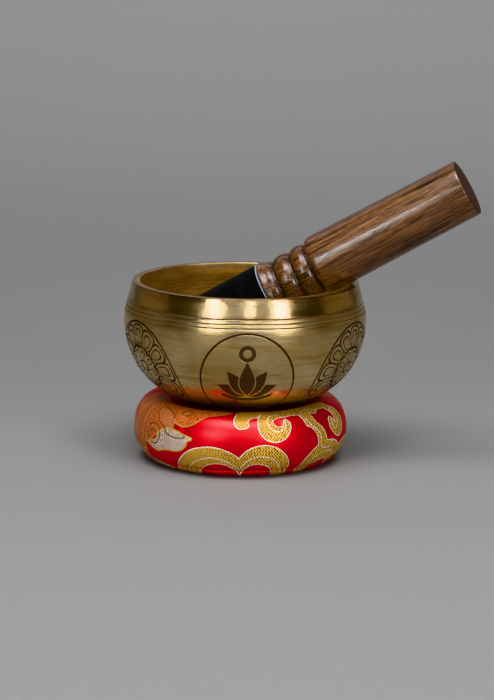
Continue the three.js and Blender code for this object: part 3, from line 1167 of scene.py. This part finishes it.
@dataclass(frozen=True)
class Curve:
    """A filled shape on the cloth, with a smooth edge through a few points, in millimetres."""

    points: tuple[tuple[float, float], ...]
    fineness: int = 6

    def smooth(self) -> np.ndarray:
        """Rounds the edge off with a Catmull-Rom span between each two points.

        Returns:
            The edge's points, the first one again at the end.
        """
        here = np.array(self.points, float)
        before, after, beyond = (np.roll(here, n, axis=0) for n in (1, -1, -2))
        spans = []
        for share in np.linspace(0.0, 1.0, self.fineness, endpoint=False):
            cube, square = share**3, share**2
            spans.append(
                here
                + (after - before) * (share / 2)
                + (2 * before - 5 * here + 4 * after - beyond) * (square / 2)
                + (3 * here - before - 3 * after + beyond) * (cube / 2)
            )
        path = np.stack(spans, axis=1).reshape(-1, 2)
        return np.vstack([path, path[:1]])

    def distance(self, across: np.ndarray, up: np.ndarray) -> np.ndarray:
        """Measures how far places on the cloth are from the edge.

        Args:
            across: their distances round the cushion, in millimetres.
            up: their distances along the cloth from the seam, in millimetres.

        Returns:
            The distances, below 0 inside.
        """
        path = self.smooth()
        low = path.min(axis=0) - FAR
        high = path.max(axis=0) + FAR
        near = (across > low[0]) & (across < high[0]) & (up > low[1]) & (up < high[1])
        place = np.stack([across[near], up[near]], axis=1)
        least = np.full(len(place), FAR)
        inside = np.zeros(len(place), bool)
        for start, end in zip(path, path[1:]):
            step = end - start
            from_start = place - start
            share = np.clip(from_start @ step / max(step @ step, 1e-9), 0.0, 1.0)
            least = np.minimum(least, np.linalg.norm(from_start - share[:, None] * step, axis=1))
            crosses = (start[1] > place[:, 1]) != (end[1] > place[:, 1])
            slope = step[0] / step[1] if abs(step[1]) > 1e-9 else 0.0
            inside ^= crosses & (place[:, 0] < start[0] + (place[:, 1] - start[1]) * slope)
        whole = np.full(across.shape, FAR)
        whole[near] = np.where(inside, -least, least)
        return whole


@dataclass(frozen=True)
class Picture:
    """What is woven in one yarn: shapes, and the holes in them where the cloth below shows."""

    shapes: tuple[Disc | Curve, ...]
    holes: tuple[Disc | Curve, ...] = ()

    def distance(self, across: np.ndarray, up: np.ndarray) -> np.ndarray:
        """Measures how far places on the cloth are from the picture's edge.

        Args:
            across: their distances round the cushion, in millimetres.
            up: their distances along the cloth from the seam, in millimetres.

        Returns:
            The distances, below 0 inside.
        """
        whole = np.full(across.shape, FAR)
        for shape in self.shapes:
            whole = np.minimum(whole, shape.distance(across, up))
        for hole in self.holes:
            whole = np.maximum(whole, -hole.distance(across, up))
        return whole


def ring(count: int, reach: float, radius: float, turn: float = 0.0) -> list[Disc]:
    """Lobes in a ring round the seat's middle.

    Args:
        count: how many there are.
        reach: how far their middles are from the seat's, in millimetres.
        radius: their own radius, in millimetres.
        turn: the first one's angle, in radians.

    Returns:
        The lobes.
    """
    angles = [turn + math.tau * i / count for i in range(count)]
    return [Disc(reach * math.cos(angle), reach * math.sin(angle), radius) for angle in angles]


CLOUDS = (Disc(-14.5, -8.5, 22.5), Disc(12.0, 1.0, 14.3), Disc(50.0, -4.2, 17.9), Disc(71.0, -8.0, 19.4))
CLOUD_HOLES = (
    Disc(-11.0, -6.0, 11.5),
    Disc(9.3, -3.0, 8.6),
    Disc(49.0, -5.5, 9.0),
    Disc(70.5, -10.0, 11.0),
)
SPIRAL_EYE = Curve(
    ((17.3, 27.0), (18.3, 24.9), (20.5, 24.0), (22.6, 24.8), (23.6, 27.2), (25.2, 27.6),
     (26.9, 26.0), (30.0, 26.5), (29.0, 29.4), (24.0, 29.2), (20.5, 29.0))
)
PICTURES = {  # a coral figure and pale leaves to the left of the front, gold clouds to its right
    Yarn.CORAL: Picture(
        (
            Curve(((-84, -4), (-64, -4), (-58.5, 2), (-57, 9), (-57, 17), (-55, 26), (-50, 36),
                   (-56, 46), (-82, 46), (-86, 38), (-81, 31), (-87, 23), (-82.5, 14), (-88, 5))),
            Curve(((-57, 13), (-50, 14), (-44, 18), (-36, 20), (-36.5, 26), (-38, 32), (-40, 46),
                   (-58, 46))),
            Curve(((-37, 27), (-34.5, 23.8), (-30, 22.6), (-24.5, 24.2), (-20.5, 27.6), (-17, 30),
                   (-10, 31.6), (-5, 34.0), (-12, 37.5), (-22, 46), (-40, 46), (-40, 34))),
        )
    ),
    Yarn.SILVER: Picture(
        (
            Curve(((-41, 20), (-34.5, 20.2), (-29, 18.6), (-24, 17.3), (-27, 15.4), (-33, 14.9),
                   (-38, 15.6))),
            Curve(((-54, 11.2), (-50.5, 9), (-46, 8), (-42, 9.2), (-38, 9.6), (-33, 9.8), (-28.6, 11.8),
                   (-27.2, 15), (-33, 15.6), (-38.5, 17), (-42, 19.5), (-45.5, 17), (-47, 13.6))),
            Curve(((-64, -4), (-61, 1.5), (-57.3, 4), (-58.5, 0.5), (-60, -4))),
            Curve(((-77, 4), (-70, 5.2), (-62, 2.4), (-55, 0.8), (-48, -0.8), (-40, -2.4),
                   (-34, -5), (-45, -6), (-57, -4), (-68, -2), (-78, -1))),
        )
    ),
    Yarn.GOLD: Picture(
        (
            *CLOUDS,
            Curve(((-3, 27.4), (-1.8, 24.3), (1.2, 23.3), (4.7, 24.5), (4.4, 27.0), (6.2, 29.3),
                   (10, 30.4), (13, 37), (2, 38), (-2, 32))),
            Disc(18.0, 25.2, 8.7),
            Curve(((12, 31), (17, 29.6), (24, 29.4), (28, 29.9), (33, 29.8), (36, 29), (41, 30),
                   (46, 28.7), (50, 30.8), (54, 30.4), (59, 31.5), (63, 34.5), (50, 38), (30, 39),
                   (14, 38))),
            Curve(((34, 30.5), (35, 27), (36.2, 23.2), (39, 21.5), (41.5, 18.5), (42.8, 14.5), (43, 11),
                   (49, 11), (48.7, 16), (46.5, 20.5), (43.2, 23.6), (42, 26.5), (41, 30.5))),
            Curve(((56.5, 30.4), (58.4, 27), (58.8, 23), (57.8, 21.2), (56.6, 23.6), (54.6, 25),
                   (52.5, 23), (53, 19), (57, 15.2), (62, 13.6), (66, 17), (67, 22), (65.4, 27),
                   (62, 31), (63, 34))),
        ),
        (*CLOUD_HOLES, SPIRAL_EYE),
    ),
}
TRACES = Picture(  # fine outline-coloured lines inside the gold pictures
    (
        Disc(-13.5, -7.5, 16.0),
        Disc(10.8, -1.2, 10.9),
        Disc(49.6, -5.0, 13.2),
        Disc(70.8, -9.0, 15.0),
        Disc(19.6, 26.6, 4.9),
        Curve(((36.5, 31), (38.4, 23.8), (41.6, 20.8), (44.4, 17.4), (45.8, 11), (53, 11), (52, 22),
               (46, 32))),
        Curve(((60.8, 29), (61.8, 24.4), (60.8, 20.4), (58, 18.2), (55.2, 20.4), (56.8, 25))),
    )
)
VEINS = Picture(  # dark inner lines of the coral and silver pictures
    (
        Curve(((-74, -2), (-73, 12), (-71, 24), (-67, 38), (-61, 37), (-65, 22), (-66.5, 10), (-68, -2))),
        Curve(((-62.5, 4), (-60.8, 12), (-61, 24), (-57, 35), (-53, 37), (-56.2, 24), (-58, 12),
               (-58, 4))),
        Curve(((-51, 31), (-45, 31), (-40.6, 29.2), (-37, 27), (-36, 23), (-34.6, 20), (-39, 17.5),
               (-41, 20.4), (-45, 22.4), (-48.4, 26))),
        Curve(((-31, 33), (-27.6, 30.6), (-29.4, 28.6), (-33, 29.6))),
        Disc(-49.0, 16.2, 5.0),
        Curve(((-36, 20.5), (-37.8, 17.2), (-33, 16.4), (-28, 17.4), (-31, 19.6))),
    ),
    (Disc(-49.6, 16.0, 2.4),),
)
SEAT_PICTURE = Picture(  # a small gold flower under the bowl
    (
        Disc(0, 0, 8.5),
        *ring(8, 12.0, 4.2),
        *ring(5, 24.0, 5.2),
        *ring(5, 26.0, 3.9, 0.24),
        *ring(5, 26.0, 3.9, -0.24),
    ),
    (Disc(0, 0, 4.0), *ring(5, 24.0, 2.4)),
)


# ---- Cushion -----------------------------------------------------------------------------------


@dataclass
class Cushion:
    """The stuffed round cushion: two brocade covers, their stitched seam and the wadding."""

    seam_radius: float = 48.5 * MM
    seam_height: float = 3.6 * MM
    base_radius: float = 39.0 * MM
    crest_radius: float = 42.0 * MM
    hollow_radius: float = 33.5 * MM
    hollow_depth: float = 2.6 * MM  # below the crest, just outside the bowl's foot
    foot_radius: float = 21.0 * MM  # the bowl's
    waist_height: float = 16.0 * MM
    cloth: float = 0.8 * MM
    clearance: float = 0.35 * MM  # between the cloth and the bowl's side
    foot_gap: float = 0.3 * MM  # between the seat and the bowl's foot
    wadding_gap: float = 0.3 * MM  # between the covers and the wadding
    spacing: float = 1.75 * MM  # between the skin's points before it is subdivided
    segments: int = 192
    swell: float = 0.5 * MM  # the most that the stuffing may push the cloth out
    settling: float = 1.2 * MM  # how far the ring has sunk round the bowl, before it swells
    enlargement: float = 20.0  # of the cloth while it is blown up, where the cloth tool works best
    pressure: float = 4.0
    moments: int = 20
    smoothing: int = 4
    seat_arc: float = 42.0  # millimetres of cloth from the seam, past which the seat's picture lies
    seat_reach: float = 23.0  # millimetres from the seat's middle, where its picture ends
    stitches: int = 112
    stitch_size: tuple[float, float, float] = (0.38 * MM, 0.30 * MM, 1.05 * MM)  # half of each side
    stitch_slant: float = 35.0  # degrees from upright
    stitch_sink: float = 0.45 * MM

    def __post_init__(self) -> None:
        """Takes the place and the overall size from the frame."""
        low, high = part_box("cushion_upper_cover")
        self.middle = Vector(((low.x + high.x) / 2, (low.y + high.y) / 2, 0.0))
        self.radius = (high.x - low.x) / 2
        self.crest_height = high.z - self.settling
        self.seat_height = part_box("bowl")[0].z - self.foot_gap
        self.profile = self.outline()
        self.arc = self.arc_lengths()
        log.info("cloth from the seam: %.0f mm over, %.0f mm under", max(self.arc), -min(self.arc))

    def outline(self) -> Profile:
        """Draws the outer surface of both covers.

        Returns:
            Its points, evenly spaced, from the middle of the base to the middle of the seat.
        """
        seam = point(self.seam_radius, self.seam_height)
        waist = point(self.radius, self.waist_height)
        crest = point(self.crest_radius, self.crest_height)
        hollow = point(self.hollow_radius, self.crest_height - self.hollow_depth)
        seat = point(self.foot_radius + 1.5 * MM, self.seat_height)
        base = point(self.base_radius, 0.0)
        under = joined([point(0.0, 0.0)], bend(base, 0.0, seam, 50.0, 24, 0.35))
        over = joined(
            bend(seam, 50.0, waist, 90.0, 24, 0.35),
            bend(waist, 90.0, crest, 180.0, 40, 0.42),
            bend(crest, 180.0, hollow, 180.0, 20, 0.4),
            bend(hollow, 180.0, seat, 180.0, 20, 0.4),
            [point(0.0, self.seat_height)],
        )
        return joined(self.evenly(under), self.evenly(over))

    def evenly(self, outline: Profile) -> Profile:
        """Spaces a stretch of outline evenly.

        Args:
            outline: its points.

        Returns:
            New points on it, with the same ends.
        """
        lengths = [(b - a).length for a, b in zip(outline, outline[1:])]
        reached = np.concatenate([[0.0], np.cumsum(lengths)])
        count = round(reached[-1] / self.spacing)
        wanted = np.linspace(0.0, reached[-1], count + 1)
        radii = np.interp(wanted, reached, [here.x for here in outline])
        heights = np.interp(wanted, reached, [here.z for here in outline])
        return [point(radius, height) for radius, height in zip(radii, heights)]

    def arc_lengths(self) -> list[float]:
        """Measures the cloth from the seam to each point of the profile.

        Returns:
            The distances in millimetres, above 0 over the seam and below 0 under it.
        """
        lengths = [(b - a).length / MM for a, b in zip(self.profile, self.profile[1:])]
        reached = np.concatenate([[0.0], np.cumsum(lengths)])
        seam = point(self.seam_radius, self.seam_height)
        start = min(range(len(self.profile)), key=lambda i: (self.profile[i] - seam).length)
        return list(reached - reached[start])

    def underside(self, radius: np.ndarray) -> np.ndarray:
        """Finds how high the bowl's outer surface is.

        Args:
            radius: distances from the bowl's axis.

        Returns:
            The height over each.
        """
        belly = Bowl().belly(40)
        heights = [here.z + self.seat_height + self.foot_gap for here in belly]
        return np.interp(radius, [here.x for here in belly], heights)

    def skin(self) -> bpy.types.Object:
        """Makes the outer surface of both covers as one closed mesh, with its distance from the seam.

        Returns:
            A working object, which is removed later.
        """
        mesh = spun(self.profile, self.segments)
        arc = mesh.verts.layers.float.new("arc")
        radii = np.array([here.x for here in self.profile])
        heights = np.array([here.z for here in self.profile])
        for corner in mesh.verts:
            reach = math.hypot(corner.co.x, corner.co.y)
            nearest = int(np.argmin((radii - reach) ** 2 + (heights - corner.co.z) ** 2))
            corner[arc] = self.arc[nearest]
        bmesh.ops.translate(mesh, verts=mesh.verts, vec=self.middle)
        return finished("cushion_skin", mesh)

    def places(self, data: bpy.types.Mesh) -> np.ndarray:
        """Reads where a mesh's points are.

        Args:
            data: the mesh.

        Returns:
            An array with a row for each point.
        """
        flat = np.empty(len(data.vertices) * 3)
        data.vertices.foreach_get("co", flat)
        return flat.reshape(-1, 3)

    def numbers(self, data: bpy.types.Mesh, name: str) -> np.ndarray:
        """Reads a number that a mesh's points carry.

        Args:
            data: the mesh.
            name: the attribute's name.

        Returns:
            An array with a number for each point.
        """
        values = np.empty(len(data.vertices))
        data.attributes[name].data.foreach_get("value", values)
        return values

    def stuffed(self, skin: bpy.types.Object) -> None:
        """Blows the cloth up under pressure, held at the seam and under the bowl, within the swell.

        Args:
            skin: the outer surface of both covers, which takes the new shape.
        """
        start = self.places(skin.data)
        arc = self.numbers(skin.data, "arc")
        work = skin.copy()
        work.data = skin.data.copy()
        bpy.context.scene.collection.objects.link(work)
        work.data.vertices.foreach_set("co", (start * self.enlargement).ravel())
        held = work.vertex_groups.new(name="held")
        reach = np.hypot(start[:, 0], start[:, 1])
        fixed = (np.abs(arc) < 0.5) | (start[:, 2] < 0.1 * MM) | ((arc > 30.0) & (reach < 24.0 * MM))
        held.add([int(i) for i in np.nonzero(fixed)[0]], 1.0, "REPLACE")

        cloth = work.modifiers.new("stuffing", "CLOTH")
        settings = cloth.settings
        settings.quality = 4
        settings.use_pressure = True
        settings.uniform_pressure_force = self.pressure
        settings.effector_weights.gravity = 0.0
        settings.vertex_group_mass = "held"
        settings.shrink_min = -0.05
        settings.bending_stiffness = 0.2
        cloth.collision_settings.use_collision = False

        scene = bpy.context.scene
        for number in range(self.moments):
            scene.frame_set(number + 1)
        shown = work.evaluated_get(bpy.context.evaluated_depsgraph_get())
        moved = self.places(shown.data) / self.enlargement - start
        scene.frame_set(1)
        bpy.data.objects.remove(work)
        size = np.linalg.norm(moved, axis=1, keepdims=True)
        log.info("stuffing moved the cloth by up to %.2f mm", size.max() / MM)
        capped = moved * (self.swell / (self.swell + size))
        skin.data.vertices.foreach_set("co", (start + capped).ravel())

    def gathered(self, data: bpy.types.Mesh) -> None:
        """Draws the seam in, puckers the cloth along it, and keeps the seat under the bowl.

        Args:
            data: the mesh of both covers.
        """
        place = self.places(data)
        arc = self.numbers(data, "arc")
        flat = place - np.array(self.middle)
        turn = np.arctan2(flat[:, 1], flat[:, 0])
        out = np.stack([np.cos(turn), np.sin(turn), np.zeros(len(turn))], axis=1)
        pinch = 0.9 * np.exp(-((arc / 1.0) ** 2)) + 0.35 * np.exp(-((arc / 3.2) ** 2))
        pucker = np.empty(len(turn))
        drift = np.empty(len(turn))
        for i, (angle, height) in enumerate(zip(turn, arc)):
            spoke = Vector((math.cos(angle), math.sin(angle), 0.0))
            pucker[i] = noise.noise(spoke * 15.0 + Vector((0.0, 0.0, height * 0.05)))
            drift[i] = noise.noise(spoke * 1.9 + Vector((3.0, 0.0, height * 0.04)))

        # Puckers fade out above the seam, and the drift of the whole ring fades out at the crest.
        side = np.exp(-np.abs(arc - 1.0) / 5.5)
        whole = 1.0 / (1.0 + np.exp((arc - 40.0) / 3.0))
        push = (pucker * 1.1 * side + drift * 0.9 * whole) * (np.abs(arc) > 0.4) - pinch
        push *= np.clip(place[:, 2] / (1.2 * MM), 0.0, 1.0)
        place += out * (push * MM)[:, None]

        reach = np.hypot(place[:, 0], place[:, 1])
        roof = self.underside(reach) - self.clearance
        over_seam = arc > 8.0  # millimetres: the bowl's side is only above this
        place[:, 2] = np.where(over_seam, np.minimum(place[:, 2], roof), place[:, 2])
        place[:, 2] = np.maximum(place[:, 2], 0.0)
        data.vertices.foreach_set("co", place.ravel())

    def embroidered(self, data: bpy.types.Mesh) -> None:
        """Gives the cloth its flat coordinates and its distance to each picture's edge.

        Args:
            data: the mesh of both covers.
        """
        place = self.places(data) - np.array(self.middle)
        arc = self.numbers(data, "arc")
        girth = math.tau * self.radius / MM
        azimuth = np.arctan2(place[:, 1], place[:, 0]) + math.pi / 2
        across = azimuth * self.radius / MM
        across = (across + girth / 4) % (girth / 2) - girth / 4
        centre = max(self.arc) - arc
        flat_x = centre * np.sin(azimuth)
        flat_y = -centre * np.cos(azimuth)
        fields: dict[str, np.ndarray] = {}
        for yarn, picture in PICTURES.items():
            repeats = [picture.distance(across + shift, arc) for shift in (0.0, -girth / 2, girth / 2)]
            fields[yarn.value] = np.where(arc > self.seat_arc, FAR, np.minimum.reduce(repeats))
        over_seat = np.maximum(SEAT_PICTURE.distance(flat_x, flat_y), centre - self.seat_reach)
        gold = fields[Yarn.GOLD.value]
        fields[Yarn.GOLD.value] = np.where(arc > self.seat_arc, over_seat, gold)
        fields["trace"] = np.where(arc < self.seat_arc, TRACES.distance(across, arc), FAR)
        fields["vein"] = np.where(arc < self.seat_arc, VEINS.distance(across, arc), FAR)
        for name, values in fields.items():
            made = data.attributes.new(name, "FLOAT", "POINT")
            made.data.foreach_set("value", np.clip(values, -FAR, FAR).astype(np.float32))
        self.unrolled(data, azimuth, arc, np.stack([flat_x, flat_y], axis=1))

    def unrolled(
        self, data: bpy.types.Mesh, azimuth: np.ndarray, arc: np.ndarray, flat: np.ndarray
    ) -> None:
        """Adds the UV map in millimetres: unrolled on the side, and flat on the seat.

        Args:
            data: the mesh of both covers.
            azimuth: each point's angle from the front.
            arc: each point's distance along the cloth from the seam.
            flat: each point's place on the flat seat.
        """
        layer = data.uv_layers.new(name="cloth")
        scale = self.radius / MM
        for face in data.polygons:
            corners = list(face.vertices)
            on_seat = sum(arc[i] for i in corners) / len(corners) > self.seat_arc
            first = azimuth[corners[0]]
            for loop, i in zip(face.loop_indices, corners):
                turn = (azimuth[i] - first + math.pi) % math.tau - math.pi + first
                layer.data[loop].uv = tuple(flat[i]) if on_seat else (turn * scale, arc[i])

    def cover(self, name: str, whole: bpy.types.Mesh, upper: bool) -> bpy.types.Object:
        """Makes one cover: the cloth on its side of the seam, with its thickness.

        Args:
            name: the piece's name.
            whole: the mesh of both covers.
            upper: whether it is the one above the seam.

        Returns:
            The cover.
        """
        mesh = bmesh.new()
        mesh.from_mesh(whole)
        arc = mesh.verts.layers.float["arc"]
        side = 1.0 if upper else -1.0
        gone = [f for f in mesh.faces if sum(v[arc] for v in f.verts) * side < 0.0]
        bmesh.ops.delete(mesh, geom=gone, context="FACES")
        made = finished(name, mesh, self.brocade)
        wall = made.modifiers.new("cloth", "SOLIDIFY")
        wall.thickness = self.cloth
        wall.offset = -1.0
        return made

    def thread(self) -> bpy.types.Object:
        """Makes short slanted stitches over the seam, all the way round.

        Returns:
            The stitches.
        """
        mesh = bmesh.new()
        seam = self.seam_radius - self.stitch_sink
        for i in range(self.stitches):
            made = bmesh.ops.create_uvsphere(mesh, u_segments=6, v_segments=4, radius=1.0)["verts"]
            angle = math.tau * i / self.stitches
            matrix = (
                Matrix.Translation(self.middle)
                @ Matrix.Rotation(angle, 4, "Z")
                @ Matrix.Translation((seam, 0.0, self.seam_height))
                @ Matrix.Rotation(math.radians(self.stitch_slant), 4, "X")
                @ Matrix.Diagonal((*self.stitch_size, 1.0))
            )
            bmesh.ops.transform(mesh, matrix=matrix, verts=made)
        bmesh.ops.recalc_face_normals(mesh, faces=mesh.faces)
        material = plain_material("thread", (0.42, 0.05, 0.035), 0.6, 2400.0)
        return finished("cushion_stitches", mesh, material)

    def build(self) -> list[bpy.types.Object]:
        """Makes the cushion's pieces and puts them on its body.

        Returns:
            The two covers, the wadding and the stitches.
        """
        skin = self.skin()
        self.stuffed(skin)
        mesh = bmesh.new()
        mesh.from_mesh(skin.data)
        bmesh.ops.subdivide_edges(mesh, edges=mesh.edges, cuts=1, use_grid_fill=True)
        for _ in range(self.smoothing):
            bmesh.ops.smooth_vert(
                mesh, verts=mesh.verts, factor=0.5, use_axis_x=True, use_axis_y=True, use_axis_z=True
            )
        whole = bpy.data.meshes.new("cushion_whole")
        mesh.to_mesh(whole)
        mesh.free()
        self.gathered(whole)
        wadding = self.wadding(whole)
        self.embroidered(whole)
        self.brocade = Brocade().material()
        upper = self.cover("cushion_top_cover", whole, upper=True)
        lower = self.cover("cushion_bottom_cover", whole, upper=False)
        thread = self.thread()
        bpy.data.objects.remove(skin)
        dressed = (
            (upper, "cushion_upper_cover", "brocade"),
            (lower, "cushion_lower_cover", "brocade"),
            (wadding, "cushion_filling", "wadding"),
            (thread, "cushion_seam_thread", "thread"),
        )
        for piece, node, slot in dressed:
            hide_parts(node)
            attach(piece, "cushion")
        return [upper, lower, wadding, thread]

    def wadding(self, whole: bpy.types.Mesh) -> bpy.types.Object:
        """Makes the stuffing, a closed solid just inside the covers.

        Args:
            whole: the mesh of both covers.

        Returns:
            The wadding.
        """
        mesh = bmesh.new()
        mesh.from_mesh(whole)
        mesh.normal_update()
        for corner in mesh.verts:
            corner.co -= corner.normal * (self.cloth + self.wadding_gap)
        material = plain_material("wadding", (0.75, 0.73, 0.68), 0.9, 600.0)
        return finished("cushion_wadding", mesh, material)


# ---- Studio ------------------------------------------------------------------------------------


@dataclass(frozen=True)
class Softbox:
    """One rectangular light that faces a point."""

    name: str
    place: Place
    size: tuple[float, float]
    power: float
    aim: Place = (0.0, 0.0, 0.06)
    tint: Colour = (1.0, 1.0, 1.0)

    def hang(self) -> None:
        """Adds the light to the scene."""
        data = bpy.data.lights.new(self.name, "AREA")
        data.shape = "RECTANGLE"
        data.size, data.size_y = self.size
        data.energy = self.power
        data.color = self.tint
        lamp = bpy.data.objects.new(self.name, data)
        lamp.location = self.place
        facing = Vector(self.aim) - Vector(self.place)
        lamp.rotation_euler = facing.to_track_quat("-Z", "Y").to_euler()
        bpy.context.scene.collection.objects.link(lamp)


WARM = (1.0, 0.80, 0.62)
SOFTBOXES = (
    Softbox("overhead", (0.0, -0.34, 0.95), (0.9, 0.55), 14.0, aim=(0.0, -0.10, 0.0)),
    Softbox("left_upright", (-0.67, -1.16, 0.42), (0.17, 0.48), 5.8),
    Softbox("right_upright", (0.77, -1.12, 0.42), (0.17, 0.48), 6.4),
    Softbox("middle_upright", (0.14, -1.40, 0.58), (0.10, 0.5), 1.2),
    Softbox("front_fill", (0.1, -1.9, 0.6), (1.5, 0.5), 1.1),
    Softbox("left_wall", (-1.5, 0.4, 0.42), (1.3, 0.7), 0.50, tint=WARM),
    Softbox("right_wall", (1.5, 0.4, 0.42), (1.3, 0.7), 0.60, tint=WARM),
    Softbox("backdrop", (0.0, 1.05, 1.3), (2.4, 0.5), 26.5, aim=(0.0, 2.0, 0.2)),
)


@dataclass
class Studio:
    """Floor, lights and camera."""

    distance: float = 1.254
    elevation: float = 11.39  # degrees above level
    roll: float = 0.692  # degrees
    aim_height: float = 54.1 * MM
    aim_right: float = 1.13 * MM
    lens: float = 129.3
    floor: Colour = (0.248, 0.249, 0.254)
    room: Colour = (0.60, 0.48, 0.40)
    room_strength: float = 0.075
    sweep_reach: float = 3.0  # how far the floor goes to each side and forward, and the backdrop up

    def camera(self) -> None:
        """Sets a long lens a little above the rim, turned a touch."""
        pitch = math.radians(self.elevation)
        turn = math.radians(self.roll)
        forward = Vector((0.0, math.cos(pitch), -math.sin(pitch)))
        right = Vector((1.0, 0.0, 0.0))
        up = right.cross(forward)
        across = right * math.cos(turn) + up * math.sin(turn)
        upward = up * math.cos(turn) - right * math.sin(turn)
        data = bpy.data.cameras.new("camera")
        data.lens = self.lens
        camera = bpy.data.objects.new("camera", data)
        matrix = Matrix((across, upward, -forward)).transposed().to_4x4()
        matrix.translation = Vector((self.aim_right, 0.0, self.aim_height)) - forward * self.distance
        camera.matrix_world = matrix
        bpy.context.scene.collection.objects.link(camera)
        bpy.context.scene.camera = camera

    def lights(self) -> None:
        """Hangs the softboxes: one overhead, uprights and a fill by the camera, walls and a backdrop."""
        for softbox in SOFTBOXES:
            softbox.hang()
        world = bpy.data.worlds.new("room")
        world.use_nodes = True
        background = world.node_tree.nodes["Background"]
        background.inputs["Color"].default_value = (*self.room, 1.0)
        background.inputs["Strength"].default_value = self.room_strength
        bpy.context.scene.world = world
        bpy.context.scene.view_settings.view_transform = "Khronos PBR Neutral"

    def sweep(self) -> None:
        """Lays a pale floor that curves up into a backdrop."""
        turn = [Vector((0.0, y, z)) for y, z in ((0.9, 0.0), (1.6, 0.0), (2.0, 0.4), (2.0, 1.1))]
        outline = joined(
            [Vector((0.0, -self.sweep_reach, 0.0))],
            interpolate_bezier(*turn, 24),
            [Vector((0.0, 2.0, self.sweep_reach))],
        )
        mesh = bmesh.new()
        corners = [mesh.verts.new(here - Vector((self.sweep_reach, 0.0, 0.0))) for here in outline]
        edges = [mesh.edges.new(pair) for pair in zip(corners, corners[1:])]
        made = bmesh.ops.extrude_edge_only(mesh, edges=edges)["geom"]
        moved = [part for part in made if isinstance(part, bmesh.types.BMVert)]
        bmesh.ops.translate(mesh, verts=moved, vec=(2 * self.sweep_reach, 0.0, 0.0))
        bmesh.ops.recalc_face_normals(mesh, faces=mesh.faces)
        floor = finished("floor", mesh, plain_material("paper", self.floor, 0.75, 700.0))

    def build(self) -> None:
        """Sets the studio up."""
        self.camera()
        self.lights()
        self.sweep()


def main() -> None:
    """Builds every sub-assembly and reports each piece."""
    logging.basicConfig(level=logging.INFO, format="%(message)s")
    Studio().build()
    bowl = Bowl()
    mallet = Mallet()
    cushion = Cushion()
    for piece in (bowl.build(), mallet.wood(), mallet.suede(), *cushion.build()):
        log.info("%s: %d faces", piece.name, len(piece.data.polygons))


if __name__ == "__main__":
    main()
